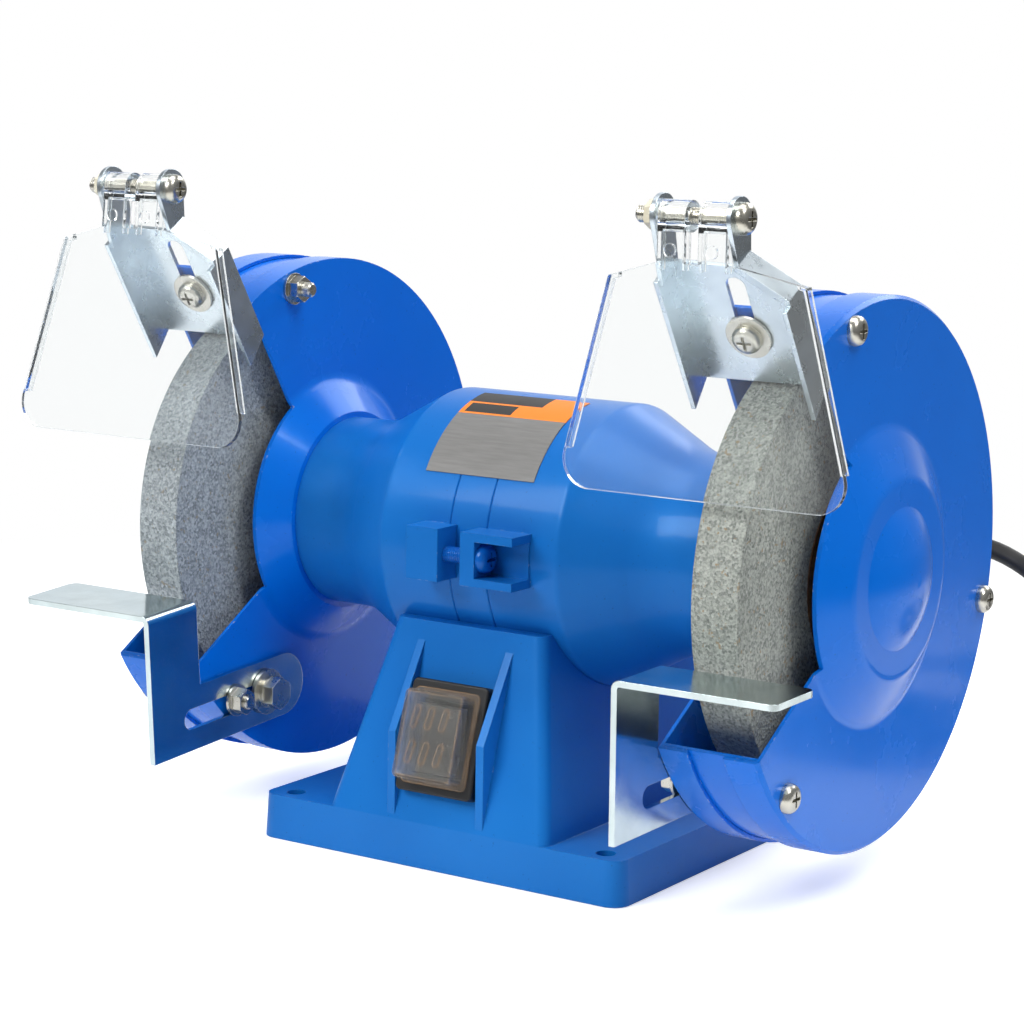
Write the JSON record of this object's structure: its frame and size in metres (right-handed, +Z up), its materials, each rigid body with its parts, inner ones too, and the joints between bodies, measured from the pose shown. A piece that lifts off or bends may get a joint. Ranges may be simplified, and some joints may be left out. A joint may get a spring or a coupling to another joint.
{
  "type": "bench grinder",
  "caption": "Bench grinder: a motor on a cast pedestal turns two guarded abrasive wheels, with sliding tool rests and hinged clear eye shields.",
  "frame": {"origin": "on the bench under the middle of the motor, at the centre of the four base bolts", "axes": "+X along the shaft towards the right-hand wheel, -Y towards the user, +Z up"},
  "size_m": [0.4273, 0.3905, 0.2249],
  "materials": {
    "blue_casting": "satin",
    "blue_sheet": "gloss",
    "bare_steel": "brushed",
    "zinc_fastener": "satin",
    "zinc_sheet": "satin",
    "silicon_steel": "satin",
    "grit_left": "rough",
    "grit_right": "rough",
    "blotter_paper": "matte",
    "clear_sheet": "clear",
    "clear_cover": "clear",
    "black_plastic": "satin",
    "cream_plastic": "satin",
    "copper_winding": "varnished",
    "grey_plate": "satin",
    "black_rubber": "matte",
    "plug_brass": "satin",
    "motor_casting": "painted satin",
    "wheel_flange": "turned",
    "capacitor_case": "satin"
  },
  "bodies": {
    "frame": {"base_plate": "blue_sheet", "base_plate_screws": "zinc_fastener", "bearing_balls": "bare_steel", "bearing_outer_rings": "bare_steel", "capacitor_clip": "zinc_sheet", "cord_coil": "black_rubber", "cord_strain_relief": "black_rubber", "cover_nuts_left": "zinc_fastener", "cover_nuts_right": "zinc_fastener", "cover_screws_left": "zinc_fastener", "cover_screws_right": "zinc_fastener", "end_bell_left": "motor_casting", "end_bell_right": "motor_casting", "guard_band_left": "blue_sheet", "guard_band_right": "blue_sheet", "guard_cover_left": "blue_sheet", "guard_cover_right": "blue_sheet", "guard_disc_left": "blue_sheet", "guard_disc_right": "blue_sheet", "guard_mount_screws_left": "zinc_fastener", "guard_mount_screws_right": "zinc_fastener", "housing_tie_screws": "zinc_fastener", "pedestal": "blue_casting", "plug_pins": "plug_brass", "power_cord": "black_rubber", "power_plug": "black_rubber", "rating_plate": "grey_plate", "rest_clamp_left": "zinc_fastener", "rest_clamp_right": "zinc_fastener", "run_capacitor": "capacitor_case", "saddle_bolts": "zinc_fastener", "shield_clamp_left": "zinc_fastener", "shield_clamp_right": "zinc_fastener", "stator_core": "silicon_steel", "stator_windings": "copper_winding", "switch_dust_cover": "clear_cover", "switch_housing": "black_plastic"},
    "rotor": {"rotor_shaft": "bare_steel", "rotor_core": "silicon_steel", "wheel_blotters": "blotter_paper", "bearing_inner_rings": "bare_steel", "grinding_wheel_left": "grit_left", "clamp_flanges_left": "wheel_flange", "wheel_nut_left": "wheel_flange", "grinding_wheel_right": "grit_right", "clamp_flanges_right": "wheel_flange", "wheel_nut_right": "wheel_flange"},
    "rocker": {"switch_rocker": "black_plastic"},
    "tool_rest_left": {"tool_rest_left": "zinc_sheet"},
    "shield_bracket_left": {"shield_bracket_left": "zinc_sheet", "hinge_screw_left": "zinc_fastener", "hinge_nut_left": "cream_plastic"},
    "eye_shield_left": {"eye_shield_left": "clear_sheet"},
    "tool_rest_right": {"tool_rest_right": "zinc_sheet"},
    "shield_bracket_right": {"shield_bracket_right": "zinc_sheet", "hinge_screw_right": "zinc_fastener", "hinge_nut_right": "cream_plastic"},
    "eye_shield_right": {"eye_shield_right": "clear_sheet"}
  },
  "joints": [
    {"name": "shaft_spin", "type": "hinge", "parent": "frame", "child": "rotor", "pos_m": [0, 0, 0.1034], "axis": [1, 0, 0], "continuous": true},
    {"name": "rocker_press", "type": "hinge", "parent": "frame", "child": "rocker", "pos_m": [0, -0.05735, 0.04268], "axis": [-1, 0, 0], "range_deg": [0, 18]},
    {"name": "rest_slide_left", "type": "slide", "parent": "frame", "child": "tool_rest_left", "axis": [0, 0.9978, 0.0663], "range_m": [-0.007, 0.0025]},
    {"name": "bracket_slide_left", "type": "slide", "parent": "frame", "child": "shield_bracket_left", "axis": [0, -0.5299, 0.848], "range_m": [-0.001, 0.0034]},
    {"name": "shield_tilt_left", "type": "hinge", "parent": "shield_bracket_left", "child": "eye_shield_left", "pos_m": [-0.1114, -0.0718, 0.21831], "axis": [-1, 0, 0], "range_deg": [-6, 70]},
    {"name": "rest_slide_right", "type": "slide", "parent": "frame", "child": "tool_rest_right", "axis": [0, 0.9999, 0.0122], "range_m": [-0.007, 0.0025]},
    {"name": "bracket_slide_right", "type": "slide", "parent": "frame", "child": "shield_bracket_right", "axis": [0, -0.5299, 0.848], "range_m": [-0.001, 0.0034]},
    {"name": "shield_tilt_right", "type": "hinge", "parent": "shield_bracket_right", "child": "eye_shield_right", "pos_m": [0.105, -0.0718, 0.21831], "axis": [-1, 0, 0], "range_deg": [-1, 70]}
  ]
}
